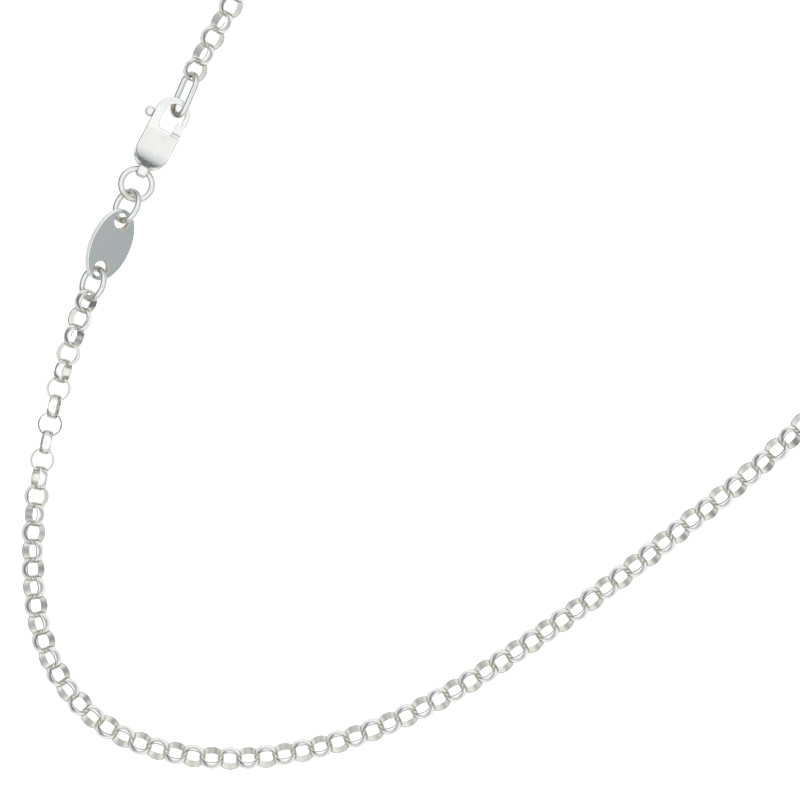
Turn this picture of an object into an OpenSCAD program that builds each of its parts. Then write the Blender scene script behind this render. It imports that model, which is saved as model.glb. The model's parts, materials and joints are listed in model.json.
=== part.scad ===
/* [Chain] */
// Length of the whole closed necklace along its centre line
necklace_l = 457; // [430:1:520]
// Outer diameter of a round rolo link
link_od = 3.28; // [2.9:0.02:3.8]
// Thickness of a link's flat wire over its crown
link_wall = 0.2; // [0.18:0.01:0.28]
// Thickness of that wire at its two edges, where its shoulders end
link_rim = 0.14; // [0.06:0.01:0.16]
// Width of the wire's crown between its sloping shoulders
link_crown = 0.44; // [0.3:0.02:0.6]
// Width of a link's wire along the link's own axis
link_band = 1.18; // [1:0.02:1.24]

/* [End link] */
// Outer length of the oval link that the clasp's hook holds
end_link_l = 6.4; // [5.6:0.1:8]
// Outer width of that link
end_link_w = 3.4; // [3.3:0.05:4]
// Diameter of its round wire
end_link_wire = 0.78; // [0.6:0.01:0.8]
// Distance of the link's end in the hook from the clasp's centre line, towards the gate
hook_side = 0.5; // [0.2:0.05:0.6]

/* [Clasp body] */
// Length of the oval body without its tail
clasp_l = 10.3; // [9.8:0.1:12]
// Width of the oval body
clasp_w = 4.6; // [4.4:0.1:5.4]
// Thickness of the body where it houses the lever
clasp_t = 2.3; // [2.1:0.1:2.8]
// Thickness of the hook at its crown
hook_t = 1.05; // [0.9:0.05:1.1]
// Height of the hook's bar over the opening
hook_bar = 0.82; // [0.6:0.02:1]
// Width of the hook's spine, on the thumb side of the opening
hook_spine = 1.24; // [1.1:0.02:1.4]
// Width of the hook's tip, on the gate side of the opening
hook_tip = 0.73; // [0.5:0.01:0.9]
// Length of the opening inside the hook
opening_l = 3.7; // [3.4:0.1:4]
// Length of the gap between the body's shoulder and the hook's tip, which the gate closes
gate_gap_l = 2.06; // [1.7:0.02:2.3]
// Step from the foot of the opening down to the body's shoulder
shoulder_drop = 0.42; // [0.3:0.02:0.5]
// Length of the rounded foot at the tail end
foot_l = 2.2; // [1.8:0.1:2.6]
// Thickness of the lip that ends the foot
foot_lip = 0.6; // [0.4:0.05:0.9]

/* [Clasp tail] */
// Outer diameter of the round tail that the clasp ring passes through
tail_d = 1.9; // [1.8:0.05:2.1]
// Bore of the tail
tail_bore = 1.28; // [1.2:0.02:1.34]
// Width of the tail across the clasp
tail_w = 1.45; // [1.2:0.05:1.6]
// Distance of the tail's bore beyond the end of the body
tail_drop = 0.22; // [0.1:0.02:0.4]
// Distance of the tail's bore behind the body's middle plane
tail_back = 0.2; // [0:0.05:0.3]

/* [Clasp lever] */
// Thickness of the lever's arms inside the body
lever_t = 0.86; // [0.7:0.02:0.9]
// Thickness of the gate where it closes the hook
gate_t = 1.2; // [1:0.05:1.3]
// Width of the gate
gate_w = 1.24; // [1.1:0.02:1.4]
// Width of the arm that carries the thumb nub
thumb_arm_w = 0.66; // [0.5:0.02:0.7]
// Diameter of the round thumb nub
nub_d = 1.36; // [1.1:0.02:1.5]
// Distance of the nub's centre beyond the body's thumb side
nub_out = 0.55; // [0.45:0.05:0.7]
// Height of the nub's centre above the body's end
nub_h = 7.05; // [6.7:0.05:7.3]
// Diameter of the lever's pivot eye
eye_d = 1.9; // [1.6:0.05:2.1]
// Height of the pivot above the body's end
pivot_h = 2.6; // [2.4:0.05:2.9]
// Distance of the pivot from the body's centre line, towards the gate
pivot_side = 0.35; // [0.2:0.05:0.5]
// Diameter of the rivet that the lever turns on
rivet_d = 0.7; // [0.6:0.02:0.8]

/* [Rings] */
// Outer diameter of the three round rings
ring_od = 4.8; // [4.7:0.05:5.4]
// Diameter of their round wire
ring_wire = 0.78; // [0.6:0.01:0.8]

/* [Tag] */
// Length of the oval tag
tag_l = 9.85; // [9:0.05:12]
// Width of the oval tag
tag_w = 5.9; // [5:0.05:7]
// Thickness of the oval tag
tag_t = 0.8; // [0.6:0.02:0.9]
// Diameter of each of its two holes
tag_hole_d = 2.1; // [2:0.05:2.3]
// Metal left between a hole and the tag's end
tag_bridge = 0.5; // [0.4:0.05:0.7]

/* [How the pieces lie] */
// Lean of the end link about the chain's run
end_link_lean = 49.5; // [46:0.5:54]
// Lean of the clasp
clasp_lean = -5; // [-8:0.5:0]
// Lean of the ring on the clasp's tail
clasp_ring_lean = -4; // [-7:0.5:0]
// Lean of the two rings on the tag
tag_ring_lean = 46; // [44:0.5:50]
// Lean of the tag
tag_lean = -35; // [-42:0.5:-30]

/* [Hidden] */
$fn = 64;

// Clear space left between interlocked pieces, between the chain's links, between the lever and its
// slot, and round the rivet
gap = 0.12;
link_gap = 0.23;
slot_gap = 0.08;
rivet_gap = 0.03;

// Room left for the first link in the lower ring, for each ring in its hole of the tag and for the
// two rings in each other, and what a tilted ring rests higher
first_link_slack = 0.3;
hole_slack = 0.1;
ring_slack = 0.04;
ring_lift = 0.05;

// Where the end link's wire lies up the hook's opening, and how round the opening's lower corners are,
// as shares of its length and of half its width
seat_share = 0.66;
corner_share = 0.6;

// Metal left between the lever's slot and the hook's opening, and how far a cutting shape runs past
slot_wall = 0.28;
cut = 1;

// The necklace's route over the table, once round, as chosen points (x, y): from the hook's opening
// down past the tag, along the front of the chain, and round the plain back stretch to the end link
route = [[-29, 37], [-33.5, 29.5], [-35.5, 25], [-37.5, 20], [-39.5, 16], [-41.5, 10.5],
         [-43.5, 4.5], [-45, -1.5], [-46.5, -8.5], [-47.5, -16], [-47.5, -24], [-46.5, -30.5],
         [-43.5, -37], [-38, -42.5], [-30.5, -45.5], [-21.5, -46.5], [-10.5, -45], [-1.5, -42],
         [6.5, -38], [14.5, -33], [22.5, -27.5], [30.5, -21.5], [38, -15.5], [45.5, -9.5], [53, -2.5],
         [64.5, 10], [78, 25], [88, 43], [91, 63], [87.5, 83], [76.5, 100], [60, 110.5], [41, 113],
         [22.5, 107.5], [6.5, 95.5], [-6, 80], [-15.5, 63], [-22, 51], [-26.5, 43]];
span_steps = 12;

// The chain's twist as it lies: distance from its first link, and the lean of every second link.
// The links between stand at right angles to these.
twist = [[0, 40], [6, 28], [11, 14], [16, 1], [20, -12], [25, -28], [30, -41], [35, -45],
         [60, -45], [75, -51], [130, -50], [160, -45], [390, -45], [410, -38]];

// The route as a smooth closed curve: each span is a cubic that leaves its points along the slopes there
points = len(route);
function point_at(i) = route[(i + points) % points];
function chord(i) = norm(point_at(i + 1) - point_at(i));
function slope(i) =
    (chord(i - 1) * (point_at(i + 1) - point_at(i)) / chord(i)
     + chord(i) * (point_at(i) - point_at(i - 1)) / chord(i - 1)) / (chord(i - 1) + chord(i));
function on_span(i, t) =
    (1 + 2 * t) * pow(1 - t, 2) * point_at(i) + t * pow(1 - t, 2) * chord(i) * slope(i)
    + t * t * (3 - 2 * t) * point_at(i + 1) + t * t * (t - 1) * chord(i) * slope(i + 1);
curve = [for (i = [0 : points - 1], j = [0 : span_steps - 1]) on_span(i, j / span_steps), point_at(0)];
function run_to(i, done = [0]) =
    i == len(curve) ? done : run_to(i + 1, concat(done, [done[i - 1] + norm(curve[i] - curve[i - 1])]));
run = run_to(1);
lay_scale = necklace_l / run[len(run) - 1];
x_at = [for (i = [0 : len(curve) - 1]) [run[i] * lay_scale, curve[i].x * lay_scale]];
y_at = [for (i = [0 : len(curve) - 1]) [run[i] * lay_scale, curve[i].y * lay_scale]];
function span_middle(table) = (max([for (p = table) p[1]]) + min([for (p = table) p[1]])) / 2;
centre_x = span_middle(x_at);
centre_y = span_middle(y_at);

// Link sizes that follow from the wire
link_or = link_od / 2;
link_ir = link_or - link_wall;
ring_r = (ring_od - ring_wire) / 2;
ring_ir = ring_r - ring_wire / 2;
end_link_bend_r = (end_link_w - end_link_wire) / 2;
end_link_bend_ir = end_link_bend_r - end_link_wire / 2;
end_link_half = end_link_l / 2 - end_link_wire;
tag_hole_x = tag_l / 2 - tag_bridge - tag_hole_d / 2;

// How deep a crossing wire of the given half width sits in an inner curve of radius r, kept clear of it
function seat(r, half, clear = gap) = sqrt(pow(r - clear, 2) - pow(half, 2));

// Distance between the centres of two links, and of a link and the pieces at the chain's two ends
link_pitch = seat(link_ir, link_band / 2, 0) + seat(link_ir, link_band / 2, link_gap);
first_link_reach = min(link_ir + seat(ring_ir, link_band / 2), ring_ir + link_ir - gap) - first_link_slack;
last_link_reach = link_ir + end_link_half - end_link_bend_ir + seat(end_link_bend_ir, link_band / 2);

// Distance between the centres of two equal round rings whose planes cross at the given angle
function ring_reach(angle) =
    let (clear_d = ring_wire + gap, spread = ring_r * (1 - cos(angle)))
    2 * ring_r - (spread >= clear_d ? clear_d : clear_d * clear_d / (2 * spread) + spread / 2);

// How far the clasp ring's wire curves back over the width of the tail
ring_sag = ring_r - sqrt(pow(ring_r, 2) - pow(tail_w / 2, 2));

// Where the end link's wire lies in the hook, above the body's end
opening_top = clasp_l - hook_bar;
opening_foot = opening_top - opening_l;
hook_seat = opening_foot + seat_share * opening_l;

// Places along the route, from the end link's wire in the hook
tail_s = hook_seat + tail_drop;
clasp_ring_s = tail_s - ring_sag / 2 + ring_r;
upper_ring_s = clasp_ring_s + ring_reach(tag_ring_lean - clasp_ring_lean) - ring_slack;
tag_s = upper_ring_s + ring_r + hole_slack + tag_hole_x;
lower_ring_s = tag_s + tag_hole_x + hole_slack + ring_r;
first_link_s = lower_ring_s + first_link_reach;
end_link_s = necklace_l - end_link_l / 2 + end_link_wire / 2;
last_link_s = end_link_s - last_link_reach;
links = 2 * ceil(((last_link_s - first_link_s) / link_pitch + 1) / 2);
pitch = (last_link_s - first_link_s) / (links - 1);

// Height of a piece's centre above the table where it rests, by its lean
function ring_rest(r, wire, lean) = r * abs(sin(lean)) + wire / 2;
function plate_rest(w, t, lean) = w / 2 * abs(sin(lean)) + t / 2 * cos(lean);
function link_rest(lean) =
    max(link_or * abs(sin(lean)) + link_crown / 2 * abs(cos(lean)),
        (link_ir + link_rim) * abs(sin(lean)) + link_band / 2 * abs(cos(lean)));
function twist_at(s) = lookup(s - first_link_s, twist);
function chain_rest(s) = max(link_rest(twist_at(s)), link_rest(twist_at(s) - 90));

clasp_h = plate_rest(clasp_w, clasp_t, clasp_lean);
tail_h = clasp_h - tail_back * cos(clasp_lean);
tag_h = plate_rest(tag_w, tag_t, tag_lean);
ring_h = ring_rest(ring_r, ring_wire, tag_ring_lean) + ring_lift;
end_link_h = ring_rest(end_link_bend_r, end_link_wire, end_link_lean);

// Height of the necklace's centre line along the route, as its heavier pieces carry it
h_at = concat(
    [[0, clasp_h], [hook_seat, clasp_h], [tail_s, tail_h],
     [(clasp_ring_s + upper_ring_s) / 2, 2 * ring_h - tag_h],
     [tag_s - tag_hole_x, tag_h], [tag_s + tag_hole_x, tag_h],
     [lower_ring_s + ring_r, 2 * ring_h - tag_h]],
    [for (i = [1 : links - 1]) let (s = first_link_s + i * pitch) [s, chain_rest(s)]],
    [[end_link_s, end_link_h], [necklace_l, clasp_h]]);

function place(s) = [lookup(s, x_at) - centre_x, lookup(s, y_at) - centre_y, lookup(s, h_at)];

// Lays a piece along the straight line between two places of the route, with its own x along the run,
// its y to the left of it and its centre halfway, leaning about the run
module laid(from, to, lean) {
    laid_on(place(from), place(to), lean) children();
}

module laid_on(a, b, lean) {
    d = b - a;
    translate((a + b) / 2)
        rotate([0, -atan2(d.z, norm([d.x, d.y])), atan2(d.y, d.x)])
        rotate([lean, 0, 0])
        children();
}

// A round ring of round wire, lying in the xy plane
module wire_ring(r, wire) {
    rotate_extrude()
        translate([r, 0]) circle(d = wire);
}

// One rolo link: wide flat wire, flat inside, with a crown and two sloping shoulders outside
module rolo_link() {
    rotate_extrude()
        polygon([[link_ir, -link_band / 2], [link_ir + link_rim, -link_band / 2],
                 [link_or, -link_crown / 2], [link_or, link_crown / 2],
                 [link_ir + link_rim, link_band / 2], [link_ir, link_band / 2]]);
}

module rolo_chain() {
    color("silver")
        for (i = [0 : links - 1])
            let (s = first_link_s + i * pitch)
            laid(s - link_ir, s + link_ir, twist_at(s) - (i % 2 == 0 ? 90 : 0))
            rolo_link();
}

// An oval link of round wire, with its length along x
module end_link() {
    straight = end_link_l - end_link_w;
    color("silver")
        laid(end_link_s - end_link_half, end_link_s + end_link_half, end_link_lean) {
            for (side = [-1, 1]) {
                translate([side * straight / 2, 0, 0])
                    rotate([0, 0, side * 90 - 180])
                    rotate_extrude(angle = 180)
                    translate([end_link_bend_r, 0]) circle(d = end_link_wire);
                translate([-straight / 2, side * end_link_bend_r, 0])
                    rotate([0, 90, 0])
                    cylinder(d = end_link_wire, h = straight);
            }
        }
}

// Puts a piece drawn in the clasp's own frame in its place: there y runs up the clasp from the body's
// end to the hook, x points to the gate side and z to the front
module in_clasp() {
    tail = [place(tail_s).x, place(tail_s).y, clasp_h];
    down = tail - place(0);
    hook = place(0) - hook_side * [-down.y, down.x, 0] / norm(down);
    laid_on(hook, tail, clasp_lean)
        rotate([0, 0, 90])
        translate([0, tail_drop - norm(tail - hook) / 2, 0])
        children();
}

module clasp_outline() {
    r = clasp_w / 2;
    translate([-r, r]) square([clasp_w, clasp_l - clasp_w]);
    translate([0, r]) circle(r);
    translate([0, clasp_l - r]) circle(r);
}

// The space inside the hook, with a round top and round lower corners
module hook_opening() {
    left = hook_spine - clasp_w / 2;
    w = clasp_w - hook_spine - hook_tip;
    r = w / 2;
    corner = corner_share * r;
    translate([left + r, opening_top - r]) circle(r);
    translate([left, opening_foot + corner]) square([w, opening_l - r - corner]);
    translate([left + corner, opening_foot]) square([w - 2 * corner, opening_l - r]);
    for (x = [left + corner, left + w - corner])
        translate([x, opening_foot + corner]) circle(corner);
}

// The body seen from its side, drawn with the clasp's length along x and its thickness along y
module clasp_side() {
    drop = clasp_t - foot_lip;
    foot_r = (pow(foot_l, 2) + pow(drop, 2)) / (2 * drop);
    taper = opening_foot - shoulder_drop;
    polygon([[foot_l, -clasp_t / 2], [taper, -clasp_t / 2], [hook_seat, -hook_t / 2],
             [clasp_l + cut, -hook_t / 2], [clasp_l + cut, hook_t / 2], [hook_seat, hook_t / 2],
             [taper, clasp_t / 2], [foot_l, clasp_t / 2]]);
    intersection() {
        translate([foot_l, clasp_t / 2 - foot_r]) circle(foot_r);
        translate([0, -clasp_t / 2]) square([foot_l, clasp_t]);
    }
}

pivot = [pivot_side, pivot_h];
slot_t = lever_t + 2 * slot_gap;
gate_foot = opening_foot - shoulder_drop;
gate_top = gate_foot + gate_gap_l;
gate_reach = norm([clasp_w / 2 - hook_tip - pivot_side, gate_top - pivot_h]) - gap;
wall_in = hook_spine - clasp_w / 2 - slot_wall;

// The slot for the lever, open on both edges of the body above its solid foot. The hook's tip and the
// gate end on arcs about the pivot, so that the gate swings past the tip.
module lever_slot() {
    low = pivot_h - eye_d / 2 - 2 * slot_gap;
    translate([-clasp_w, low]) square([2 * clasp_w, gate_foot + cut - low]);
    translate([-clasp_w, low]) square([clasp_w + wall_in, nub_h + nub_d / 2 - low]);
}

module clasp_body() {
    gate_left = clasp_w / 2 - gate_w - gap;
    color("gainsboro")
        in_clasp()
        difference() {
            union() {
                intersection() {
                    translate([0, 0, -clasp_t]) linear_extrude(2 * clasp_t) clasp_outline();
                    rotate([90, 0, 90])
                        translate([0, 0, -clasp_w]) linear_extrude(2 * clasp_w) clasp_side();
                }
                translate([-tail_w / 2, -tail_drop, -tail_back])
                    rotate([0, 90, 0])
                    cylinder(d = tail_d, h = tail_w);
            }
            translate([-tail_w / 2 - cut, -tail_drop, -tail_back])
                rotate([0, 90, 0])
                cylinder(d = tail_bore, h = tail_w + 2 * cut);
            translate([0, 0, -clasp_t]) linear_extrude(2 * clasp_t) hook_opening();
            intersection() {
                translate([gate_left, gate_foot, -clasp_t])
                    cube([clasp_w, opening_l, 2 * clasp_t]);
                translate([pivot.x, pivot.y, -clasp_t])
                    cylinder(r = gate_reach + gap, h = 2 * clasp_t);
            }
            translate([0, 0, -slot_t / 2]) linear_extrude(slot_t) lever_slot();
            translate([pivot.x, pivot.y, -clasp_t]) cylinder(d = rivet_d, h = 2 * clasp_t);
        }
}

// A straight arm between two points, with round ends
module arm(a, b, w) {
    d = b - a;
    translate(a) rotate(atan2(d.y, d.x)) translate([0, -w / 2]) square([norm(d), w]);
    translate(a) circle(d = w);
    translate(b) circle(d = w);
}

module clasp_lever() {
    gate_x = clasp_w / 2 - gate_w / 2;
    gate_low = opening_foot + gap;
    arm_x = wall_in - gap - thumb_arm_w / 2;
    nub = [-clasp_w / 2 - nub_out, nub_h];
    color("silver")
        in_clasp()
        difference() {
            union() {
                translate([0, 0, -lever_t / 2]) linear_extrude(lever_t) {
                    translate(pivot) circle(d = eye_d);
                    arm(pivot, [gate_x, gate_foot], gate_w);
                    translate([gate_x - gate_w / 2, gate_foot]) square([gate_w, gate_low + gap - gate_foot]);
                    arm(pivot, [arm_x, gate_foot], thumb_arm_w);
                    arm([arm_x, gate_foot], nub, thumb_arm_w);
                }
                intersection() {
                    translate([gate_x - gate_w / 2, gate_low, -gate_t / 2])
                        cube([gate_w, gate_top - gate_low, gate_t]);
                    translate([pivot.x, pivot.y, -gate_t / 2])
                        cylinder(r = gate_reach, h = gate_t);
                }
                translate(nub) sphere(d = nub_d);
            }
            translate([pivot.x, pivot.y, -clasp_t])
                cylinder(d = rivet_d + 2 * rivet_gap, h = 2 * clasp_t);
        }
}

module clasp_rivet() {
    color("gainsboro")
        in_clasp()
        translate([pivot.x, pivot.y, -clasp_t / 2])
        cylinder(d = rivet_d, h = clasp_t);
}

module clasp_ring() {
    color("silver")
        laid(clasp_ring_s - ring_r, clasp_ring_s + ring_r, clasp_ring_lean)
        wire_ring(ring_r, ring_wire);
}

module tag_ring_upper() {
    color("silver")
        laid(upper_ring_s - ring_r, upper_ring_s + ring_r, tag_ring_lean)
        wire_ring(ring_r, ring_wire);
}

module tag_ring_lower() {
    color("silver")
        laid(lower_ring_s - ring_r, lower_ring_s + ring_r, tag_ring_lean)
        wire_ring(ring_r, ring_wire);
}

// An oval plate with a hole near each end, its length along x
module oval_tag() {
    color("darkgray")
        laid(tag_s - tag_hole_x, tag_s + tag_hole_x, tag_lean)
        difference() {
            translate([0, 0, -tag_t / 2])
                linear_extrude(tag_t) scale([tag_l / tag_w, 1]) circle(d = tag_w);
            for (side = [-1, 1])
                translate([side * tag_hole_x, 0, -tag_t])
                    cylinder(d = tag_hole_d, h = 2 * tag_t);
        }
}

rolo_chain();
end_link();
clasp_body();
clasp_lever();
clasp_rivet();
clasp_ring();
tag_ring_upper();
oval_tag();
tag_ring_lower();
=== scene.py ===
"""A sterling silver rolo chain necklace with a trigger clasp and an oval tag, laid on white."""

import json
import logging
import math
from contextlib import contextmanager
from dataclasses import dataclass
from enum import Enum
from typing import Any, Iterator

import bpy
import numpy as np
from mathutils import Matrix, Vector


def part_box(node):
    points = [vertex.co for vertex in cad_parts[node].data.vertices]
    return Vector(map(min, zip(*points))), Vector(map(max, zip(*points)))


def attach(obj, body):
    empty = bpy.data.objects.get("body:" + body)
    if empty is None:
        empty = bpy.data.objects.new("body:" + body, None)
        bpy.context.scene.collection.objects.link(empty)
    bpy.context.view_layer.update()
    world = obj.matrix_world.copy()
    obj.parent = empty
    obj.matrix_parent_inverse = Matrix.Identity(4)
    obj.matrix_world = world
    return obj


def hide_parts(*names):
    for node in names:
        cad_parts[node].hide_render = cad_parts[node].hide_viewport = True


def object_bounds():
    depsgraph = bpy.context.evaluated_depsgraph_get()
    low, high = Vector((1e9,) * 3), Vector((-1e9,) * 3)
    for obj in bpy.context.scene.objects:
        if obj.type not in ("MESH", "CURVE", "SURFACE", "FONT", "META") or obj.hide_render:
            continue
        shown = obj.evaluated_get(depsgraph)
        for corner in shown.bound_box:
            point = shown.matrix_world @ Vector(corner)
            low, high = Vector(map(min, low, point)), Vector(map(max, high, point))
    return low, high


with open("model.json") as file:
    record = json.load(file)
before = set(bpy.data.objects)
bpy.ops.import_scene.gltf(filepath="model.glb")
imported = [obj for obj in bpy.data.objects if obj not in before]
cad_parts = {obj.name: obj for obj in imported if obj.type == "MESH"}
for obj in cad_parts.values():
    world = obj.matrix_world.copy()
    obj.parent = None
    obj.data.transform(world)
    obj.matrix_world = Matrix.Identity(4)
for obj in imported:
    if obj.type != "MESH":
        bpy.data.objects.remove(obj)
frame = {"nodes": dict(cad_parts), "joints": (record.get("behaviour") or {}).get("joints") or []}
cad_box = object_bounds()

MM = 0.001
JOIN_WITHIN = 0.002  # mm under which two points become one
SAME_PLACE = 0.001  # mm within which two points count as one place
ROUND_FACES = 3  # faces across a rounded edge
ALONG_X = (0, 90, 0)  # the turn that lays a drum's axis along x, in degrees
NOISE_SPAN = {"From Min": 0.3, "From Max": 0.7}  # a noise texture's values mostly lie in it
log = logging.getLogger("necklace")

Pair = tuple[float, float]
Trio = tuple[float, float, float]
Outline = list[Pair]
Tones = tuple[tuple[float, str], ...]
Piece = bpy.types.Object
Material = bpy.types.Material


class Slot(Enum):
    """The record's material slots."""

    POLISHED = "polished_silver"
    SATIN = "satin_silver"
    ROLLED = "brushed_silver"


class Body(Enum):
    """The two rigid bodies that the pieces ride on."""

    NECKLACE = "necklace"
    LEVER = "lever"


class Cut(Enum):
    """How one solid works on another."""

    AWAY = "DIFFERENCE"
    COMMON = "INTERSECT"
    JOINED = "UNION"


class Mark(Enum):
    """What a finish reads from a mesh: the attribute's name, and what holds its numbers."""

    # painted shade where parts meet, the links' crease where a dark line is painted, and painted
    # shade on the clasp's sloped foot
    NOOK = ("shade_mask", "POINT")
    CREASE = ("crease", "FACE")
    UNBURNISHED = ("painted_foot_shade", "POINT")


# Small tools of the bench


def linear(colour: str) -> tuple[float, float, float, float]:
    """Turns an sRGB hex colour into the linear colour that a shader takes.

    Args:
        colour: six hex digits after a hash sign.

    Returns:
        Linear red, green and blue, and an alpha of one.
    """
    channels = [int(colour[i : i + 2], 16) / 255 for i in (1, 3, 5)]
    bent = [c / 12.92 if c <= 0.04045 else ((c + 0.055) / 1.055) ** 2.4 for c in channels]
    return (bent[0], bent[1], bent[2], 1.0)


def feed(tree: bpy.types.NodeTree, node: Any, inputs: dict[Any, Any]) -> None:
    """Sets sockets of a shader node.

    Args:
        tree: the node tree that it is in.
        node: the node.
        inputs: sockets, by name or number, each with a value or with the output that feeds it.
    """
    for name, value in inputs.items():
        if isinstance(value, bpy.types.NodeSocket):
            tree.links.new(value, node.inputs[name])
        else:
            node.inputs[name].default_value = value


def add_node(tree: bpy.types.NodeTree, kind: str, inputs: dict[Any, Any] | None = None,
             **settings: Any) -> Any:
    """Adds one shader node.

    Args:
        tree: the node tree that gets it.
        kind: the node's type name, without its first part.
        inputs: its sockets, as feed takes them.
        settings: attributes of the node and their values.

    Returns:
        The new node.
    """
    node = tree.nodes.new("ShaderNode" + kind)
    for name, value in settings.items():
        setattr(node, name, value)
    feed(tree, node, inputs or {})
    return node


def new_material(name: str, inputs: dict[str, Any]) -> tuple[Material, Any]:
    """Makes a material with a plain shader.

    Args:
        name: the material's name.
        inputs: sockets of its shader and their values.

    Returns:
        The material and its shader node.
    """
    material = bpy.data.materials.new(name)
    material.use_nodes = True
    shader = material.node_tree.nodes["Principled BSDF"]
    feed(material.node_tree, shader, inputs)
    return material, shader


def arc(centre: Pair, radius: float, start: float, end: float, steps: int) -> Outline:
    """Points along an arc.

    Args:
        centre: the arc's centre.
        radius: its radius.
        start: the angle of its first point, in degrees.
        end: the angle of its last point, in degrees.
        steps: the number of spans between them.

    Returns:
        The points, first and last included.
    """
    angles = [math.radians(start + (end - start) * i / steps) for i in range(steps + 1)]
    return [(centre[0] + radius * math.cos(a), centre[1] + radius * math.sin(a)) for a in angles]


def deselect_all() -> None:
    """Leaves no object selected."""
    for item in bpy.context.selected_objects:
        item.select_set(False)


def activate(piece: Piece) -> None:
    """Selects a piece alone and makes it the active one.

    Args:
        piece: the mesh object.
    """
    deselect_all()
    piece.select_set(True)
    bpy.context.view_layer.objects.active = piece


@contextmanager
def edit_mode() -> Iterator[None]:
    """Holds the active piece in edit mode for the steps inside."""
    bpy.ops.object.mode_set(mode="EDIT")
    yield
    bpy.ops.object.mode_set(mode="OBJECT")


def pick_points(piece: Piece, chosen: np.ndarray) -> None:
    """Makes a piece active and picks some of its points for the next step in edit mode.

    Args:
        piece: the mesh object.
        chosen: one truth value a point.
    """
    activate(piece)
    mesh = piece.data
    mesh.polygons.foreach_set("select", np.zeros(len(mesh.polygons), bool))
    mesh.edges.foreach_set("select", np.zeros(len(mesh.edges), bool))
    mesh.vertices.foreach_set("select", chosen)


def close_up(piece: Piece) -> None:
    """Merges a mesh's doubled points and turns all its faces outwards.

    Args:
        piece: the mesh object.
    """
    activate(piece)
    with edit_mode():
        bpy.ops.mesh.select_all(action="SELECT")
        bpy.ops.mesh.remove_doubles(threshold=JOIN_WITHIN * MM)
        bpy.ops.mesh.normals_make_consistent(inside=False)


def ring_of(name: str, corners: list[Trio], fill: bool) -> Piece:
    """Adds a closed ring of points.

    Args:
        name: the piece's name.
        corners: the points, once round, in millimetres.
        fill: whether one face fills the ring.

    Returns:
        The new mesh object, in metres.
    """
    deselect_all()
    bpy.ops.mesh.primitive_circle_add(
        vertices=len(corners), radius=MM, fill_type="NGON" if fill else "NOTHING")
    piece = bpy.context.object
    piece.name = name
    for point, corner in zip(piece.data.vertices, corners):
        point.co = [c * MM for c in corner]
    return piece


def prism(name: str, outline: Outline, low: float, high: float) -> Piece:
    """Raises a flat outline into a closed prism.

    Args:
        name: the piece's name.
        outline: the corners, once round, in millimetres.
        low: height of the lower face, in millimetres.
        high: height of the upper face.

    Returns:
        The new mesh object, in metres.
    """
    piece = ring_of(name, [(x, y, low) for x, y in outline], fill=True)
    rise = {"value": (0, 0, (high - low) * MM)}
    with edit_mode():
        bpy.ops.mesh.select_all(action="SELECT")
        bpy.ops.mesh.extrude_region_move(TRANSFORM_OT_translate=rise)
    close_up(piece)
    return piece


def drum(name: str, centre: Trio, radius: float, length: float, turn: Trio = (0, 0, 0),
         sides: int = 96) -> Piece:
    """Adds a plain cylinder for a cut or a union.

    Args:
        name: the piece's name.
        centre: its middle, in millimetres.
        radius: its radius, in millimetres.
        length: its length along its axis.
        turn: the turn about x, y and z, in degrees.
        sides: the number of its sides.

    Returns:
        The new mesh object.
    """
    deselect_all()
    bpy.ops.mesh.primitive_cylinder_add(
        vertices=sides, radius=radius * MM, depth=length * MM,
        location=[c * MM for c in centre], rotation=[math.radians(t) for t in turn])
    piece = bpy.context.object
    piece.name = name
    bpy.ops.object.transform_apply(location=True, rotation=True, scale=True)
    return piece


def reshape(piece: Piece, kind: str, **settings: Any) -> None:
    """Applies one modifier to a piece.

    Args:
        piece: the mesh object.
        kind: the modifier's type name.
        settings: its attributes and their values.
    """
    activate(piece)
    modifier = piece.modifiers.new(kind.lower(), kind)
    for name, value in settings.items():
        setattr(modifier, name, value)
    bpy.ops.object.modifier_apply(modifier=modifier.name)


def work_on(piece: Piece, tool: Piece, cut: Cut) -> None:
    """Cuts, joins or intersects a piece with a tool, which is used up.

    Args:
        piece: the mesh that is changed.
        tool: the mesh that changes it.
        cut: what is kept.
    """
    reshape(piece, "BOOLEAN", operation=cut.value, solver="EXACT", object=tool)
    bpy.data.objects.remove(tool, do_unlink=True)


def round_edges(piece: Piece, width: float, sharper_than: float = 40,
                on_arcs: bool = False) -> None:
    """Rounds a piece's sharp edges.

    Args:
        piece: the mesh object.
        width: the round's width, in millimetres.
        sharper_than: the least angle of an edge that is rounded, in degrees.
        on_arcs: whether a round turns corners on an arc and stops short of the next round.
    """
    close_up(piece)
    reshape(piece, "BEVEL", width=width * MM, segments=ROUND_FACES, limit_method="ANGLE",
            angle_limit=math.radians(sharper_than), use_clamp_overlap=on_arcs,
            miter_outer="MITER_ARC" if on_arcs else "MITER_SHARP")


def tumble(piece: Piece, mesh_step: float, passes: int, pull: float = 0.5) -> None:
    """Rounds a piece all over, as a tumbling drum does, on an even mesh.

    Args:
        piece: the closed mesh object.
        mesh_step: the size of the new mesh's faces, in millimetres.
        passes: the number of smoothing passes.
        pull: how far a pass moves a point towards the middle of its neighbours.
    """
    piece.data.transform(Matrix.Scale(1 / MM, 4))
    reshape(piece, "REMESH", mode="VOXEL", voxel_size=mesh_step)
    reshape(piece, "SMOOTH", factor=pull, iterations=passes)
    piece.data.transform(Matrix.Scale(MM, 4))
    bpy.ops.object.shade_smooth()


def shade_by_angle(piece: Piece, degrees: float) -> None:
    """Shades a piece smooth, with edges above an angle kept sharp."""
    activate(piece)
    bpy.ops.object.shade_smooth_by_angle(angle=math.radians(degrees))


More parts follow.
